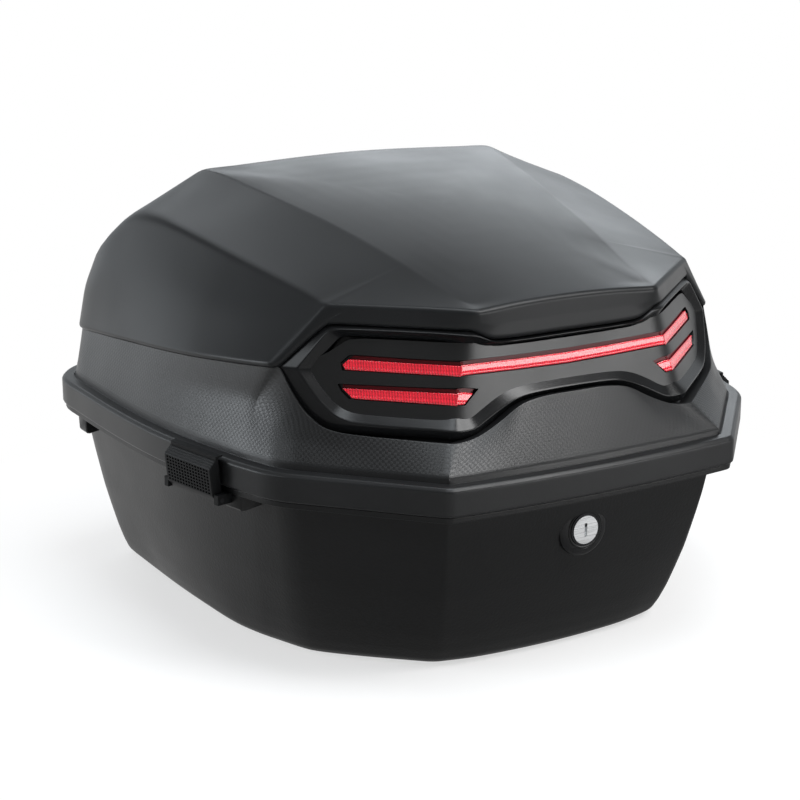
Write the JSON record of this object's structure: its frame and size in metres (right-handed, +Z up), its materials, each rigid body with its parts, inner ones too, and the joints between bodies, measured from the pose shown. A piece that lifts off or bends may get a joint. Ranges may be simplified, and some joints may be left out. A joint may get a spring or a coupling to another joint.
{
  "type": "motorcycle top case",
  "caption": "Black plastic top case for a motorcycle: drafted tub, domed lid hinged at the front, red reflectors, key lock and a snap clip on each side.",
  "frame": {"origin": "bottom of the tub, at the centre of the four mounting holes", "axes": "+X to the right, +Y towards the hinges at the front, +Z up"},
  "size_m": [0.4446, 0.43, 0.2979],
  "materials": {
    "grained_plastic": "fine grain",
    "textured_plastic": "moulded weave",
    "satin_plastic": "satin",
    "glossy_plastic": "semi-gloss",
    "red_lens": "clear",
    "seal_rubber": "matte",
    "bright_metal": "satin",
    "aluminium_plate": "satin",
    "steel": "satin"
  },
  "bodies": {
    "tub": {"tub_shell": "grained_plastic", "floor_plate": "aluminium_plate", "lock_rosette": "grained_plastic", "lock_housing": "steel", "lock_nut": "steel", "left_clip_base": "grained_plastic", "right_clip_base": "grained_plastic", "left_clip_pin": "steel", "right_clip_pin": "steel", "clip_base_screws": "steel", "left_hinge_base": "grained_plastic", "right_hinge_base": "grained_plastic", "left_hinge_pin": "steel", "right_hinge_pin": "steel", "hinge_base_screws": "steel"},
    "lid": {"lid_shell": "textured_plastic", "lid_cover": "satin_plastic", "cover_screws": "steel", "rim_seal": "seal_rubber", "striker": "steel", "striker_screws": "steel", "left_hinge_leaf": "grained_plastic", "right_hinge_leaf": "grained_plastic", "hinge_leaf_screws": "steel", "light_bezel": "glossy_plastic", "light_panel": "glossy_plastic", "upper_lens": "red_lens", "left_lens": "red_lens", "right_lens": "red_lens", "light_back": "glossy_plastic", "light_screws": "steel"},
    "key": {"key_cylinder": "bright_metal", "lock_cam": "steel", "cam_screw": "steel"},
    "left_latch": {"left_clip": "grained_plastic"},
    "right_latch": {"right_clip": "grained_plastic"}
  },
  "joints": [
    {"name": "lid_hinge", "type": "hinge", "parent": "tub", "child": "lid", "pos_m": [0, 0.213, 0.122], "axis": [-1, 0, 0], "range_deg": [0, 85]},
    {"name": "key_turn", "type": "hinge", "parent": "tub", "child": "key", "pos_m": [0, -0.18702, 0.092], "axis": [0, 1, 0], "range_deg": [0, 90]},
    {"name": "left_clip_pivot", "type": "hinge", "parent": "tub", "child": "left_latch", "pos_m": [-0.21113, -0.05282, 0.1145], "axis": [0.2045, -0.9789, 0], "range_deg": [-6, 75]},
    {"name": "right_clip_pivot", "type": "hinge", "parent": "tub", "child": "right_latch", "pos_m": [0.21113, -0.05282, 0.1145], "axis": [0.2045, 0.9789, 0], "range_deg": [-6, 75]}
  ]
}
